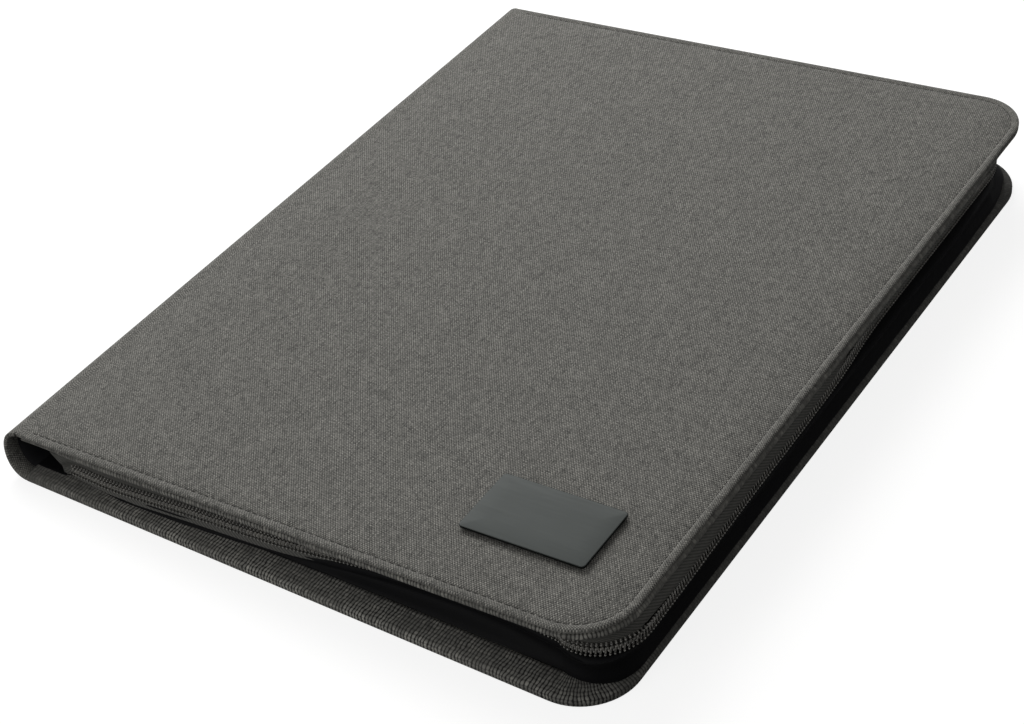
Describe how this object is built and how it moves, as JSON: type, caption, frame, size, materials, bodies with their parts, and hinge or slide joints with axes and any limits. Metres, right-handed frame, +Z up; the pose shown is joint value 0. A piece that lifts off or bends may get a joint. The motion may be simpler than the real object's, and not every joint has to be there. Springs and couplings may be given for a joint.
{
  "type": "zippered document case",
  "caption": "Shut A4 document case in grey melange fabric over stiff boards, with a zip round its three open sides, a soft rounded spine and a plain dark plate.",
  "frame": {"origin": "middle of the shut case's footprint, on the surface that its back cover lies on", "axes": "+Z up out of the front cover, -X at the spine, +X at the long zip side, -Y at the short side by the plate"},
  "size_m": [0.265, 0.3516, 0.0326],
  "materials": {
    "melange_polyester": "two-tone plain weave",
    "black_lining": "smooth woven lining",
    "white_foam": "soft padding",
    "grey_board": "uncoated board",
    "black_zip_tape": "ribbed tape",
    "black_nylon": "semi-matt",
    "black_zinc": "satin black",
    "gunmetal_plate": "satin gunmetal",
    "black_adhesive": "foam tape",
    "white_paper": "uncoated",
    "pad_card": "uncoated",
    "black_binding_tape": "paper tape",
    "black_elastic": "ribbed elastic"
  },
  "bodies": {
    "back_cover": {"back_cover_fabric": "melange_polyester", "back_board": "grey_board", "back_lining": "black_lining", "spine_lower_fold": "melange_polyester", "lower_gusset_wall": "black_lining", "lower_zip_tape": "black_zip_tape", "lower_zip_coil": "black_nylon", "lower_top_stop": "black_zinc", "zip_bottom_stop": "black_zinc", "pad_card": "pad_card", "pad_sheets": "white_paper", "pad_binding": "black_binding_tape", "pad_sleeve": "black_lining", "pen_loop": "black_elastic"},
    "spine": {"spine_fabric": "melange_polyester", "spine_lining": "black_lining"},
    "front_cover": {"front_cover_fabric": "melange_polyester", "front_foam": "white_foam", "front_board": "grey_board", "front_lining": "black_lining", "spine_upper_fold": "melange_polyester", "upper_zip_tape": "black_zip_tape", "upper_zip_coil": "black_nylon", "upper_top_stop": "black_zinc", "name_plate": "gunmetal_plate", "plate_backing": "black_adhesive", "document_pocket": "black_lining", "card_slot_1": "black_lining", "card_slot_2": "black_lining", "card_slot_3": "black_lining"},
    "zip_slider": {"zip_slider": "black_zinc"},
    "pull_tab": {"pull_tab": "black_zinc"}
  },
  "joints": [
    {"name": "spine_fold", "type": "hinge", "parent": "back_cover", "child": "spine", "pos_m": [-0.12839, 0, 0.00269], "axis": [0, -1, 0], "range_deg": [0, 90]},
    {"name": "front_cover_fold", "type": "hinge", "parent": "spine", "child": "front_cover", "pos_m": [-0.12983, 0, 0.01675], "axis": [0, -1, 0], "range_deg": [0, 87.14]},
    {"name": "slider_run", "type": "slide", "parent": "back_cover", "child": "zip_slider", "axis": [0.9988, 0, 0.0499], "range_m": [0, 0.175]},
    {"name": "pull_tab_swing", "type": "hinge", "parent": "zip_slider", "child": "pull_tab", "pos_m": [-0.08225, 0.1708, 0.00787], "axis": [-0.0499, 0, 0.9988], "range_deg": [0, 170]}
  ],
  "couplings": [
    {"joint": "front_cover_fold", "follows": "spine_fold", "ratio": 0.9682}
  ]
}
